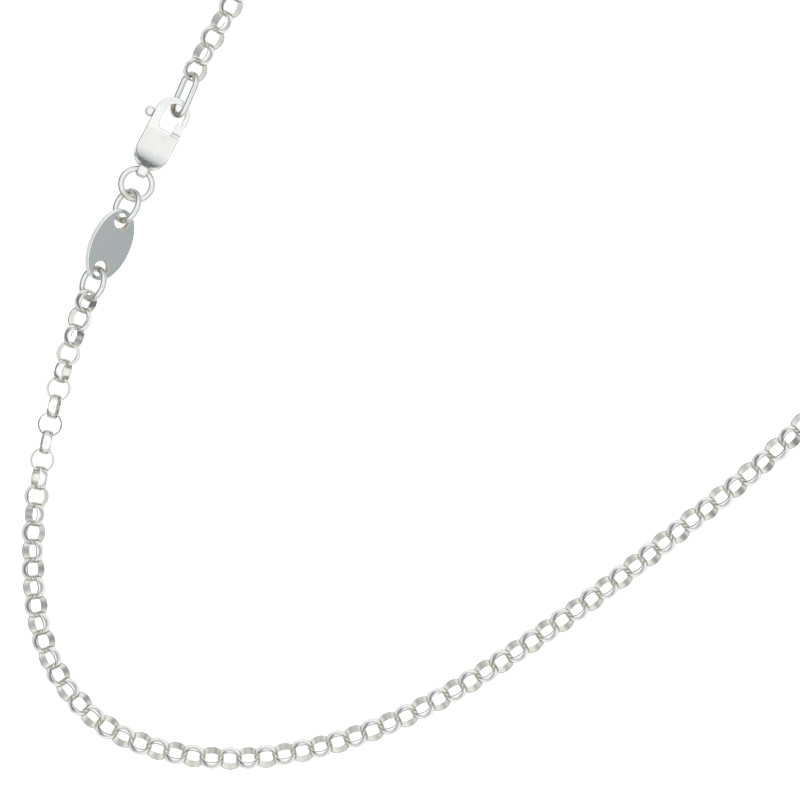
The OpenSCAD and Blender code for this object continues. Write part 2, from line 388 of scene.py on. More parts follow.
def store(piece: Piece, mark: Mark, values: Any) -> None:
    """Stores one number, from none to one, for each point or face of a piece.

    Args:
        piece: the mesh object.
        mark: what the numbers tell its finish.
        values: the numbers, in the mesh's order.
    """
    marks = piece.data.attributes.new(mark.value[0], "FLOAT", mark.value[1])
    marks.data.foreach_set("value", np.asarray(values, np.float32))


def dress(piece: Piece, face: Material, edge: Material, level_from: float) -> None:
    """Gives a piece's level faces one finish and all its others another.

    Args:
        piece: the piece, lying in its own frame.
        face: the finish of the faces that look up or down.
        edge: the finish of the rest.
        level_from: the share of a face's normal along z from which it counts as level.
    """
    piece.data.materials.append(face)
    piece.data.materials.append(edge)
    for polygon in piece.data.polygons:
        polygon.material_index = 0 if abs(polygon.normal.z) > level_from else 1


def points_of(piece: Piece) -> np.ndarray:
    """Reads a mesh's points.

    Args:
        piece: the mesh object.

    Returns:
        The points, as rows of x, y and z.
    """
    flat = np.empty(len(piece.data.vertices) * 3)
    piece.data.vertices.foreach_get("co", flat)
    return flat.reshape(-1, 3)


def hand_over(piece: Piece, body: Body, stands_for: str) -> None:
    """Tells the frame what a finished piece rides on and stands for.

    Args:
        piece: the finished mesh object.
        body: the rigid body that carries it.
        stands_for: the solid that it replaces.
    """
    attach(piece, body.value)
    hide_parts(stands_for)
    log.info("%s: %d faces, stands for %s", piece.name, len(piece.data.polygons), stands_for)


# Where the pieces lie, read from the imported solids


def loose_parts(node: str) -> list[np.ndarray]:
    """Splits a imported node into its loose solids.

    Args:
        node: the node's name.

    Returns:
        The points of each solid, as rows of x, y and z.
    """
    mesh = frame["nodes"][node].data
    points = points_of(frame["nodes"][node])
    grid = np.round(points / (SAME_PLACE * MM)).astype(np.int64)
    _, same = np.unique(grid, axis=0, return_inverse=True)
    same = same.reshape(-1)
    corners = np.empty(len(mesh.loops), np.int64)
    mesh.loops.foreach_get("vertex_index", corners)
    triangles = same[corners].reshape(-1, 3)
    label = np.arange(same.max() + 1)
    while True:
        lowest = label[triangles].min(axis=1)
        spread = label.copy()
        np.minimum.at(spread, triangles.reshape(-1), np.repeat(lowest, 3))
        spread = spread[spread]
        if np.array_equal(spread, label):
            break
        label = spread
    owner = label[same]
    return [points[owner == solid] for solid in np.unique(owner)]


def centre_of(points: np.ndarray) -> np.ndarray:
    """The middle of the box round some points."""
    return (points.max(axis=0) + points.min(axis=0)) / 2


def middle_of(node: str) -> np.ndarray:
    """The middle of a node's box."""
    return centre_of(np.array(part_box(node)))


def ring_place(points: np.ndarray, towards: np.ndarray) -> Matrix:
    """Finds how a flat ring lies.

    Args:
        points: the ring's points.
        towards: the direction that its own x should follow.

    Returns:
        The matrix from the ring's own frame, with z through its hole, to the row frame.
    """
    middle = points.mean(axis=0)
    _, _, axes = np.linalg.svd(points - middle, full_matrices=False)
    through = axes[2] if axes[2][2] >= 0 else -axes[2]
    along = towards - through * float(towards @ through)
    along /= np.linalg.norm(along)
    turn = np.stack([along, np.cross(through, along), through])
    place = Matrix(turn.T.tolist()).to_4x4()
    place.translation = Vector(middle + centre_of((points - middle) @ turn.T) @ turn)
    return place


# Finishes


@dataclass(frozen=True)
class TumbledSilver:
    """Sterling silver tumbled in steel shot: a soft mirror, with a warm shade painted into the
    nooks where parts meet.

    It gives the eye near-white metal with crisp grey reflections, and a little painted beige shade
    between links. A thin dark line, painted as shade, shows where a link's sides turn into its
    dome.
    """

    name: str = "tumbled_sterling_silver"
    metal: str = "#f5f6f4"
    # painted shade: beige where parts meet, dark brown where deepest, and a dark line along each
    # crease
    painted_shade: str = "#cdc5b3"
    deep: str = "#8d8576"
    # the painted dark line of shade along each link's crease
    line: str = "#85878a"
    roughness: float = 0.09
    wander: float = 0.07  # roughness that the dents add at most
    dent_size: float = 0.55  # mm between the tumbling shot's shallow dents
    dent_detail: float = 1.5
    dent_depth: float = 0.004  # mm
    patch_size: float = 0.9  # mm between patches of stronger painted shade, about a third of a link
    patch_detail: float = 2.0
    patch_from: float = 0.35  # the noise where a patch starts
    patch_full: float = 0.6  # and where it is full
    patch_least: float = 0.45  # share of the painted shade that stays between patches
    beige_at: float = 0.55  # the painted shade at which the metal is all beige
    deep_at: float = 0.95  # and the one at which it is darkest
    deep_share: float = 0.9
    dull_gloss: float = 0.22  # roughness added where the painted shade is full

    def build(self) -> Material:
        """Makes the material from its noise, its marks and the metal's shader.

        Returns:
            The material.
        """
        material, shader = new_material(self.name, {"Metallic": 1.0})
        tree = material.node_tree
        place = add_node(tree, "TexCoord")
        dents, patches = (add_node(tree, "TexNoise", {
            "Vector": place.outputs["Object"], "Scale": 1 / (size * MM), "Detail": detail})
            for size, detail in ((self.dent_size, self.dent_detail),
                                 (self.patch_size, self.patch_detail)))
        gloss = add_node(tree, "MapRange", {
            "Value": dents.outputs["Fac"], **NOISE_SPAN,
            "To Min": self.roughness, "To Max": self.roughness + self.wander})
        # painted shade where parts meet, in uneven patches, beige and then dark brown; the crease
        # mark adds a painted dark line
        shade_mask = add_node(tree, "Attribute", attribute_name=Mark.NOOK.value[0])
        uneven = add_node(tree, "MapRange", {
            "Value": patches.outputs["Fac"], "From Min": self.patch_from,
            "From Max": self.patch_full, "To Min": self.patch_least, "To Max": 1.0})
        shade_amount = add_node(tree, "Math", {
            0: shade_mask.outputs["Fac"], 1: uneven.outputs["Result"]}, operation="MULTIPLY")
        crease = add_node(tree, "Attribute", attribute_name=Mark.CREASE.value[0])
        share = add_node(tree, "MapRange", {
            "Value": shade_amount.outputs["Value"], "From Max": self.beige_at})
        depth = add_node(tree, "MapRange", {
            "Value": shade_amount.outputs["Value"], "From Min": self.beige_at,
            "From Max": self.deep_at, "To Max": self.deep_share})
        tone = linear(self.metal)
        for factor, colour in ((crease.outputs["Fac"], self.line),
                               (share.outputs["Result"], self.painted_shade),
                               (depth.outputs["Result"], self.deep)):
            mixed = add_node(tree, "Mix", {
                "Factor": factor, "A": tone, "B": linear(colour)}, data_type="RGBA")
            tone = mixed.outputs["Result"]
        dull = add_node(tree, "Math", {
            0: shade_amount.outputs["Value"], 1: self.dull_gloss,
            2: gloss.outputs["Result"]}, operation="MULTIPLY_ADD")
        relief = add_node(tree, "Bump", {
            "Height": dents.outputs["Fac"], "Distance": self.dent_depth * MM, "Strength": 1.0})
        feed(tree, shader, {"Base Color": tone, "Roughness": dull.outputs["Value"],
                            "Normal": relief.outputs["Normal"]})
        return material


@dataclass(frozen=True)
class SatinSilver:
    """Silver with a sandblasted and lightly burnished face.

    It gives the eye an even, off-white metal with a fine grain and no clear reflections, and a grey
    shade painted where a mesh marks it.
    """

    name: str = "satin_sterling_silver"
    metal: str = "#f2f4f0"
    # the grey of the painted shade on the clasp's sloped foot
    foot_shade: str = "#626a6e"
    roughness: float = 0.3
    gloss_less: float = 0.04  # how far the roughness falls in the glossiest clouds
    gloss_more: float = 0.06  # and how far it rises in the dullest
    grain: float = 0.16  # mm between grains, drawn coarser than the real 0.05 so that it shows
    grain_depth: float = 0.005  # mm
    detail: float = 2.0
    cloud_grains: float = 8.0  # grains across a cloud of gloss
    tone_least: float = 0.96  # brightness of the darkest grains
    speckle: Pair = (0.75, 1.15)  # how much of the painted grey shade the least and the most shaded grains show
    stretch: float = 1.0  # a grain's length over its width
    heading: float = 0.0  # the turn of its length over the table, in radians

    def build(self) -> Material:
        """Makes the material from two sizes of grain and the metal's shader.

        Returns:
            The material.
        """
        material, shader = new_material(self.name, {"Metallic": 1.0})
        tree = material.node_tree
        place = add_node(tree, "TexCoord")
        turned = add_node(tree, "Mapping", {
            "Vector": place.outputs["Object"], "Rotation": (0, 0, self.heading),
            "Scale": (self.stretch, 1, 1)}, vector_type="TEXTURE")
        grit, clouds = (add_node(tree, "TexNoise", {
            "Vector": turned.outputs["Vector"], "Scale": 1 / (size * self.grain * MM),
            "Detail": self.detail}) for size in (1, self.cloud_grains))
        gloss = add_node(tree, "MapRange", {
            "Value": clouds.outputs["Fac"], **NOISE_SPAN,
            "To Min": self.roughness - self.gloss_less,
            "To Max": self.roughness + self.gloss_more})
        tone = add_node(tree, "MapRange", {
            "Value": grit.outputs["Fac"], **NOISE_SPAN, "To Min": self.tone_least, "To Max": 1.0})
        colour = add_node(tree, "VectorMath", {
            0: linear(self.metal)[:3], "Scale": tone.outputs["Result"]}, operation="SCALE")
        # painted grey shade, speckled by the grain, where the mesh marks it
        foot_shade_mask = add_node(tree, "Attribute", attribute_name=Mark.UNBURNISHED.value[0])
        speckle = add_node(tree, "MapRange", {
            "Value": grit.outputs["Fac"], **NOISE_SPAN,
            "To Min": self.speckle[0], "To Max": self.speckle[1]})
        shade = add_node(tree, "Math", {
            0: foot_shade_mask.outputs["Fac"], 1: speckle.outputs["Result"]},
            operation="MULTIPLY", use_clamp=True)
        blended = add_node(tree, "Mix", {
            "Factor": shade.outputs["Value"], "A": colour.outputs["Vector"],
            "B": linear(self.foot_shade)}, data_type="RGBA")
        relief = add_node(tree, "Bump", {
            "Height": grit.outputs["Fac"], "Distance": self.grain_depth * MM, "Strength": 1.0})
        feed(tree, shader, {"Base Color": blended.outputs["Result"],
                            "Roughness": gloss.outputs["Result"],
                            "Normal": relief.outputs["Normal"]})
        return material


# The chain


@dataclass
class RoloChain:
    """The round links, each through its two neighbours. Sizes are in millimetres."""

    outer_d: float = 3.28
    wall: float = 0.25
    band: float = 1.17
    shoulder: float = 0.14
    corner: float = 0.05
    corner_out: float = 0.7  # how far a corner reaches outwards, as a share of its height
    crown_share: float = 0.42
    crown_drop: float = 0.01
    sides: int = 18
    seam_gap: float = 0.14
    seam_depth: float = 0.12
    seam_share: float = 0.5  # of the links show their solder seam
    crease_rise: float = 0.02  # a crease's faces lie this near to its height
    crease_reach: float = 0.06  # and this near to its radius
    inside_skin: float = 0.02  # what lies this near to the inner wall is inside
    # painted shade where links meet, outside the inner wall and on it
    outside_shade: float = 0.5
    wall_shade: float = 0.2
    shade_from: float = 0.6  # how near to its ends, from 0 to 1, a link's painted shade starts
    shade_grows: float = 0.35  # and over how much it grows full
    fullest_shade: Pair = (0.4, 0.75)  # the full painted shade, from link to link
    smooth_to: float = 40.0  # degrees
    seed: int = 7

    def section(self) -> Outline:
        """Draws the wire's section: flat inside, with narrow sides and a low dome outside.

        Returns:
            Its corners, once round, each as a radius and a height.
        """
        inner = self.outer_d / 2 - self.wall
        half = self.band / 2
        side = [(inner, half), (inner + self.shoulder, half),
                (inner + self.shoulder + self.corner_out * self.corner, half - self.corner),
                (self.outer_d / 2 - self.crown_drop, self.crown_share * half)]
        return side + [(x, -y) for x, y in reversed(side)]

    def link(self, with_seam: bool) -> Piece:
        """Models one link: the wire's section spun once round.

        Args:
            with_seam: whether the solder seam shows as a shallow groove.

        Returns:
            The link, in its own frame, with z through its hole.
        """
        piece = ring_of("link", [(out, 0, up) for out, up in self.section()], fill=False)
        with edit_mode():
            bpy.ops.mesh.select_all(action="SELECT")
            bpy.ops.mesh.spin(
                steps=self.sides, angle=2 * math.pi, center=(0, 0, 0), axis=(0, 0, 1))
        close_up(piece)
        if with_seam:
            self.cut_seam(piece)
        self.mark_creases(piece)
        return piece

    def mark_creases(self, piece: Piece) -> None:
        """Marks the narrow faces between sides and dome, where a dark line of shade is painted.

        Args:
            piece: the link, in its own frame.
        """
        rise = (self.band / 2 - self.corner / 2) * MM
        reach = (self.outer_d / 2 - self.wall + self.shoulder
                 + self.corner_out / 2 * self.corner) * MM
        store(piece, Mark.CREASE, [
            abs(abs(face.center.z) - rise) < self.crease_rise * MM
            and abs(math.hypot(face.center.x, face.center.y) - reach) < self.crease_reach * MM
            for face in piece.data.polygons])

    def cut_seam(self, piece: Piece) -> None:
        """Presses a shallow groove across a link where its wire was joined.

        Args:
            piece: the link, in its own frame.
        """
        middle = (self.outer_d - self.wall) / 2
        for offset in (-self.seam_gap / 2, 0, self.seam_gap / 2):
            pick_points(piece, points_of(piece)[:, 0] > 0)
            with edit_mode():
                bpy.ops.mesh.bisect(plane_co=(0, offset * MM, 0), plane_no=(0, 1, 0))
        own = points_of(piece)
        pick_points(piece, (np.abs(own[:, 1]) < SAME_PLACE * MM) & (own[:, 0] > 0))
        shrink = 1 - self.seam_depth
        with edit_mode():
            bpy.ops.transform.resize(
                value=(shrink, 1, shrink), center_override=(middle * MM, 0, 0))

    def in_order(self) -> list[np.ndarray]:
        """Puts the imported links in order, from the lower tag ring round to the end link.

        Returns:
            The points of each link.
        """
        links = loose_parts("rolo_chain")
        middles = [centre_of(points) for points in links]
        here = middle_of("tag_ring_lower")
        left = list(range(len(links)))
        ordered = []
        while left:
            nearest = min(left, key=lambda i: float(np.linalg.norm(middles[i] - here)))
            left.remove(nearest)
            ordered.append(links[nearest])
            here = middles[nearest]
        return ordered

    def build(self, finish: Material) -> None:
        """Lays a fine link on each packed one and joins them all.

        Args:
            finish: the links' material.
        """
        draw = np.random.default_rng(self.seed)
        models = [self.link(False), self.link(True)]
        links = self.in_order()
        middles = [centre_of(points) for points in links]
        ends = [middle_of("tag_ring_lower"), *middles, middle_of("end_link")]
        skin = (self.outer_d / 2 - self.wall + self.inside_skin) * MM
        copies = []
        for i, points in enumerate(links):
            copy = models[int(draw.random() < self.seam_share)].copy()
            copy.data = copy.data.copy()
            bpy.context.scene.collection.objects.link(copy)
            copy.data.transform(Matrix.Rotation(draw.uniform(0, 2 * math.pi), 4, "Z"))
            own = points_of(copy)
            reach = np.hypot(own[:, 0], own[:, 1])
            # painted shade near each end, where the neighbours pass through, fuller on the inner
            # wall, and a light painted shade on the whole inner wall
            near_end = np.clip(
                (np.abs(own[:, 0]) / reach - self.shade_from) / self.shade_grows, 0, 1)
            share = near_end * np.where(reach < skin, 1.0, self.outside_shade)
            inner_shade = np.where(reach < skin, self.wall_shade, 0.0)
            store(copy, Mark.NOOK, np.maximum(share * draw.uniform(*self.fullest_shade), inner_shade))
            copy.data.transform(ring_place(points, ends[i + 2] - ends[i]))
            copies.append(copy)
        for model in models:
            bpy.data.objects.remove(model, do_unlink=True)
        activate(copies[0])
        for copy in copies:
            copy.select_set(True)
        bpy.ops.object.join()
        chain = bpy.context.object
        chain.name = "rolo_links"
        chain.data.materials.append(finish)
        shade_by_angle(chain, self.smooth_to)
        hand_over(chain, Body.NECKLACE, "rolo_chain")


# Rings, end link and tag


@dataclass
class WireLoop:
    """A closed loop of round wire: a round ring, or an oval link when it has straight sides.

    Sizes are in millimetres. The loop's own x runs between the two nodes named in towards.
    """

    name: str
    node: str
    towards: tuple[str, str]
    wire_d: float = 0.86
    bend_r: float = 2.01
    straight: float = 0.0
    # painted shade where the loop passes through its neighbours, at its strongest
    painted_shade: float = 0.8
    shade_from: float = 0.72  # how near to its ends, from 0 to 1, the loop's painted shade starts
    shade_grows: float = 0.24  # and over how much it grows full
    inside_most: float = 1.3  # painted shade at the bend's centre, before it is held to 1
    inside_falls: float = 0.75  # and its fall from there to the wire's middle
    turns: int = 64
    round_sides: int = 18
    smooth_to: float = 60.0  # degrees

    def build(self, finish: Material) -> None:
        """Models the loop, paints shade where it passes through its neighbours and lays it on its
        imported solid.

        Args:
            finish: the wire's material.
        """
        deselect_all()
        bpy.ops.mesh.primitive_torus_add(
            major_segments=self.turns, minor_segments=self.round_sides,
            major_radius=self.bend_r * MM, minor_radius=self.wire_d / 2 * MM)
        piece = bpy.context.object
        piece.name = self.name
        piece.data.transform(Matrix.Rotation(math.pi / self.turns, 4, "Z"))
        for side in (-1, 1):
            pick_points(piece, points_of(piece)[:, 0] * side > 0)
            with edit_mode():
                bpy.ops.transform.translate(value=(side * self.straight / 2 * MM, 0, 0))
        own = points_of(piece)
        # painted shade on the inner side of each end, where the loop passes through its neighbour
        end = (self.bend_r + self.straight / 2) * MM
        past = np.clip((np.abs(own[:, 0]) / end - self.shade_from) / self.shade_grows, 0, 1)
        out = np.hypot(np.abs(own[:, 0]) - self.straight / 2 * MM, own[:, 1])
        inner = np.clip(
            self.inside_most - out / (self.bend_r * MM) * self.inside_falls, 0, 1)
        store(piece, Mark.NOOK, past * inner * self.painted_shade)
        way = middle_of(self.towards[1]) - middle_of(self.towards[0])
        piece.data.transform(ring_place(points_of(frame["nodes"][self.node]), way))
        sunk = max(0.0, cad_box[0][2] - float(points_of(piece)[:, 2].min()))
        piece.data.transform(Matrix.Translation((0, 0, sunk)))
        close_up(piece)
        shade_by_angle(piece, self.smooth_to)
        piece.data.materials.append(finish)
        hand_over(piece, Body.NECKLACE, self.node)


@dataclass
class OvalTag:
    """The thin oval plate with a hole near each end, cut from rolled sheet, in millimetres."""

    length: float = 9.85
    width: float = 5.9
    thickness: float = 0.8
    hole_d: float = 2.1
    bridge: float = 0.5
    edge_round: float = 0.11
    sides: int = 120
    rounded_from: float = 32.0  # degrees
    smooth_to: float = 50.0  # degrees
    broad_weight: int = 80  # how much the broad faces rule the shading of the rounds
    level_from: float = 0.995
    hole_shade: float = 0.35  # how far the painted shade round a hole reaches
    painted_shade: float = 0.7

    def build(self, face: Material, edge: Material) -> None:
        """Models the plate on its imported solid.

        Args:
            face: the finish of its two faces.
            edge: the finish of its rim, its rounds and its holes.
        """
        rim = [(self.length / 2 * x, self.width / 2 * y)
               for x, y in arc((0, 0), 1, 0, 360, self.sides)[:-1]]
        piece = prism("oval_tag_plate", rim, -self.thickness / 2, self.thickness / 2)
        hole_x = self.length / 2 - self.bridge - self.hole_d / 2
        for side in (-1, 1):
            hole = drum("hole", (side * hole_x, 0, 0), self.hole_d / 2, 3 * self.thickness)
            work_on(piece, hole, Cut.AWAY)
        round_edges(piece, self.edge_round, self.rounded_from, on_arcs=True)
        shade_by_angle(piece, self.smooth_to)
        reshape(piece, "WEIGHTED_NORMAL", keep_sharp=True, weight=self.broad_weight)
        # painted shade round each hole, where a ring passes through
        own = points_of(piece)
        from_hole = np.hypot(np.abs(own[:, 0]) - hole_x * MM, own[:, 1])
        hole_shading = np.clip(1 - (from_hole / MM - self.hole_d / 2) / self.hole_shade, 0, 1)
        store(piece, Mark.NOOK, hole_shading * self.painted_shade)
        dress(piece, face, edge, self.level_from)
        piece.data.transform(ring_place(points_of(frame["nodes"]["oval_tag"]), self.way()))
        hand_over(piece, Body.NECKLACE, "oval_tag")

    def way(self) -> np.ndarray:
        """The direction of the plate's length, from the upper ring to the lower one."""
        return middle_of("tag_ring_lower") - middle_of("tag_ring_upper")

    def heading(self) -> float:
        """The plate's turn over the table, in radians."""
        return math.atan2(self.way()[1], self.way()[0])


# The clasp


@dataclass
class Clasp:
    """The oval trigger clasp: its body with hook and tail, its sprung lever and its rivet.

    Sizes are in millimetres in the clasp's own frame: y runs up from the body's end to the hook,
    x points to the gate side and z to the front.
    """

    length: float = 10.3
    width: float = 4.6
    thickness: float = 2.3
    hook_t: float = 1.05
    hook_bar: float = 0.82
    hook_spine: float = 1.24
    hook_tip: float = 0.73
    opening_l: float = 3.7
    gate_gap_l: float = 2.06
    shoulder_drop: float = 0.42
    seat_share: float = 0.66
    corner_share: float = 0.6
    foot_l: float = 2.2
    foot_lip: float = 0.75
    foot_slope: float = 58.0  # degrees
    ledge: float = 0.46
    edge_round: float = 0.2
    tail_d: float = 1.9
    tail_bore: float = 1.28
    tail_w: float = 1.45
    tail_drop: float = 0.22
    tail_back: float = 0.2
    tail_round: float = 0.3
    lever_t: float = 0.86
    gate_t: float = 1.2
    gate_w: float = 1.24
    thumb_arm_w: float = 0.66
    nub_d: float = 1.36
    nub_out: float = 0.46
    nub_h: float = 7.05
    nub_clear: float = 0.04
    nub_shape: Trio = (1.08, 1.12, 0.95)
    nub_arm_in: float = 0.35
    nub_arm_share: float = 0.8
    stub_share: float = 0.47
    eye_d: float = 1.9
    pivot_h: float = 2.6
    pivot_side: float = 0.35
    rivet_d: float = 0.7
    rivet_proud: float = 0.006
    gap: float = 0.12
    slot_gap: float = 0.08
    rivet_gap: float = 0.03
    slot_wall: float = 0.28
    slot_rise: float = 1.0  # how far the slot runs up past the gate's foot
    clear_of: float = 1.0  # how far a cutting outline runs past the hook
    outside_share: float = 0.7  # a place outside the gate's wall, as a share of the width
    mesh_step: float = 0.06
    body_passes: int = 20
    lever_passes: int = 8
    level_from: float = 0.6
    side_lean: float = 0.02  # a side wall's normal leans to the front by no more
    side_slope: float = 0.4  # and to the hook by no more
    half_steps: int = 40  # spans round half of the body's oval
    hook_steps: int = 36
    gate_steps: int = 24
    arm_steps: int = 16
    foot_steps: int = 14
    corner_steps: int = 12
    drum_sides: int = 64
    hole_sides: int = 48
    rivet_sides: int = 40
    nub_sides: int = 32
    nub_rings: int = 20
    foot_shade_above: float = 0.5  # how far above the foot the painted shade starts
    foot_shade_power: float = 1.5  # of its growth downwards
    foot_shade_less: float = 0.3  # how much less of it shows on the gate side
    foot_shade_from: float = 0.2  # where that starts, in widths left of the middle
    lip_clear: float = 0.1
    hook_shade_drop: float = 0.9  # from the opening's top to the middle of the painted shade in the hook
    hook_shade_r: float = 1.5
    hook_shade_fade: float = 0.5
    hook_shade_l: float = 1.2
    bore_shade: float = 0.12
    bore_fade: float = 0.1
    painted_shade: float = 0.8

    def __post_init__(self) -> None:
        """Works out the heights and sides that follow from the sizes."""
        self.opening_top = self.length - self.hook_bar
        self.opening_foot = self.opening_top - self.opening_l
        self.gate_foot = self.opening_foot - self.shoulder_drop
        self.gate_top = self.gate_foot + self.gate_gap_l
        self.hook_seat = self.opening_foot + self.seat_share * self.opening_l
        self.opening_left = self.hook_spine - self.width / 2
        self.opening_right = self.width / 2 - self.hook_tip
        self.opening_mid = (self.opening_left + self.opening_right) / 2
        self.wall_in = self.opening_left - self.slot_wall
        self.pivot = (self.pivot_side, self.pivot_h)
        self.gate_reach = math.dist((self.opening_right, self.gate_top), self.pivot) - self.gap

    def place(self) -> Matrix:
        """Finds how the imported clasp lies, from its joint and its two long side walls.

        Returns:
            The matrix from the clasp's own frame to the row frame.
        """
        joint = frame["joints"][0]
        front = np.array(joint["axis"], float)
        front /= np.linalg.norm(front)
        to_hook = middle_of("end_link") - middle_of("clasp_ring")
        to_hook /= np.linalg.norm(to_hook)
        across = np.zeros(3)
        largest = 0.0
        for polygon in frame["nodes"]["clasp_body"].data.polygons:
            normal = np.array(polygon.normal)
            is_side = (abs(float(normal @ front)) < self.side_lean
                       and abs(float(normal @ to_hook)) < self.side_slope)
            if is_side and polygon.area > largest:
                largest = polygon.area
                across = normal
        across -= front * float(across @ front)
        across /= np.linalg.norm(across)
        up = np.cross(front, across)
        if float(up @ to_hook) < 0:
            up = -up
        turn = np.stack([np.cross(up, front), up, front]).T
        place = Matrix(turn.tolist()).to_4x4()
        pivot = np.array([self.pivot_side * MM, self.pivot_h * MM, 0])
        place.translation = Vector(np.array(joint["pos_m"], float) - turn @ pivot)
        return place

    def plate(self) -> Piece:
        """Models the body's blank: the oval, thinned towards the hook and sloped at the foot.

        Returns:
            The blank, in the clasp's own frame.
        """
        r = self.width / 2
        half = self.thickness / 2
        foot = arc((0, r + self.ledge), r, 180, 360, self.half_steps)
        top = arc((0, self.length - r), r, 0, 180, self.half_steps)
        blank = prism("clasp_shell", foot + top, -self.thickness, self.thickness)
        foot_r = (self.foot_l - self.ledge) / math.sin(math.radians(self.foot_slope))
        past = self.length + self.clear_of
        side = [(past, -self.hook_t / 2), (past, self.hook_t / 2),
                (self.hook_seat, self.hook_t / 2), (self.gate_foot, half)]
        side += arc((self.foot_l, half - foot_r), foot_r, 90, 90 + self.foot_slope,
                    self.foot_steps)
        side += [(-self.tail_d, self.foot_lip - half), (-self.tail_d, -half),
                 (self.gate_foot, -half), (self.hook_seat, -self.hook_t / 2)]
        profile = prism("side", side, -self.width, self.width)
        profile.data.transform(Matrix(((0, 0, 1, 0), (1, 0, 0, 0), (0, 1, 0, 0), (0, 0, 0, 1))))
        close_up(profile)
        work_on(blank, profile, Cut.COMMON)
        round_edges(blank, self.edge_round)
        oval = (arc((0, r), r, 180, 360, self.half_steps)
                + arc((0, self.gate_foot - r), r, 0, 180, self.half_steps))
        base = prism("base", oval, -half, self.foot_lip - half)
        round_edges(base, self.edge_round)
        work_on(blank, base, Cut.JOINED)
        return blank

    def opening(self) -> Outline:
        """Draws the space inside the hook, with a round top and round lower corners.

        Returns:
            Its outline.
        """
        r = (self.opening_right - self.opening_left) / 2
        corner = self.corner_share * r
        foot = self.opening_foot + corner
        return (arc((self.opening_mid, self.opening_top - r), r, 0, 180, self.hook_steps)
                + arc((self.opening_left + corner, foot), corner, 180, 270, self.corner_steps)
                + arc((self.opening_right - corner, foot), corner, 270, 360, self.corner_steps))

    def gate_end(self, reach: float, right: float, left: float, steps: int) -> Outline:
        """Draws the arc about the pivot on which the gate, or the gap that it closes, ends.

        Args:
            reach: the arc's radius.
            right: how far to the gate side it starts.
            left: where it ends.
            steps: the number of spans between them.

        Returns:
            The points, first and last included.
        """
        start, end = (math.degrees(math.acos((x - self.pivot_side) / reach))
                      for x in (right, left))
        return arc(self.pivot, reach, start, end, steps)

    def gate_space(self) -> Outline:
        """Draws the gap that the gate closes, with the gate's clearance round it.

        Returns:
            Its outline.
        """
        left = self.width / 2 - self.gate_w - self.gap
        right = self.outside_share * self.width
        return [(left, self.gate_foot), (right, self.gate_foot)] + self.gate_end(
            self.gate_reach + self.gap, right, left, self.gate_steps)

    def build_body(self, face: Material, edge: Material) -> Piece:
        """Models the body with its hook, tail, slot and openings.

        Args:
            face: the finish of its front and back.
            edge: the finish of its walls and rounds.

        Returns:
            The body, in the clasp's own frame.
        """
        body = self.plate()
        deep = 2 * self.thickness
        axis = (0, -self.tail_drop, -self.tail_back)
        tail = drum("tail", axis, self.tail_d / 2, self.tail_w, ALONG_X, self.drum_sides)
        round_edges(tail, self.tail_round)
        work_on(body, tail, Cut.JOINED)
        slot = self.lever_t / 2 + self.slot_gap
        low = self.pivot_h - self.eye_d / 2 - 2 * self.slot_gap
        far = 2 * self.width
        rise = self.gate_foot + self.slot_rise
        high = self.nub_h + self.nub_d / 2
        channel = [(-far, low), (far, low), (far, rise), (self.wall_in, rise),
                   (self.wall_in, high), (-far, high)]
        for tool in (
                drum("bore", axis, self.tail_bore / 2, 3 * self.tail_w, ALONG_X, self.drum_sides),
                prism("opening", self.opening(), -deep, deep),
                prism("gate gap", self.gate_space(), -deep, deep),
                prism("slot", channel, -slot, slot)):
            work_on(body, tool, Cut.AWAY)
        tumble(body, self.mesh_step, self.body_passes)
        dress(body, face, edge, self.level_from)
        self.paint_shade(body)
        return body

    def paint_shade(self, body: Piece) -> None:
        """Paints shade on the body's sloped foot, and in the hook and bore where rings sit.

        Args:
            body: the body, in the clasp's own frame.
        """
        x, y, z = (points_of(body) / MM).T
        # painted shade on the front of the sloped foot, growing downwards, lighter on the gate side
        foot_shade = np.clip((self.foot_l + self.foot_shade_above - y) / (self.foot_l - self.ledge), 0, 1)
        foot_shade = foot_shade ** self.foot_shade_power
        foot_shade *= 1 - self.foot_shade_less * np.clip(x / self.width + self.foot_shade_from, 0, 1)
        lip = self.foot_lip - self.thickness / 2 + self.lip_clear
        store(body, Mark.UNBURNISHED, np.where((z > lip) & (y > self.ledge), foot_shade, 0))
        # painted shade inside the hook where the end link sits, and in the tail's bore round the
        # ring
        in_hook = np.hypot(x - self.opening_mid, y - self.opening_top + self.hook_shade_drop)
        hook = np.clip((self.hook_shade_r - in_hook) / self.hook_shade_fade, 0, 1)
        in_bore = np.hypot(y + self.tail_drop, z + self.tail_back)
        bore = np.clip((self.tail_bore / 2 + self.bore_shade - in_bore) / self.bore_fade, 0, 1)
        hook *= y > self.opening_top - self.hook_shade_l
        store(body, Mark.NOOK, np.maximum(hook, bore) * self.painted_shade)

    def arm(self, start: Pair, end: Pair, width: float) -> Piece:
        """Models one flat arm of the lever, with round ends.

        Args:
            start: the middle of its first end.
            end: the middle of its last end.
            width: its width.

        Returns:
            The arm, in the clasp's own frame.
        """
        heading = math.degrees(math.atan2(end[1] - start[1], end[0] - start[0]))
        outline = (arc(start, width / 2, heading + 90, heading + 270, self.arm_steps)
                   + arc(end, width / 2, heading - 90, heading + 90, self.arm_steps))
        return prism("arm", outline, -self.lever_t / 2, self.lever_t / 2)

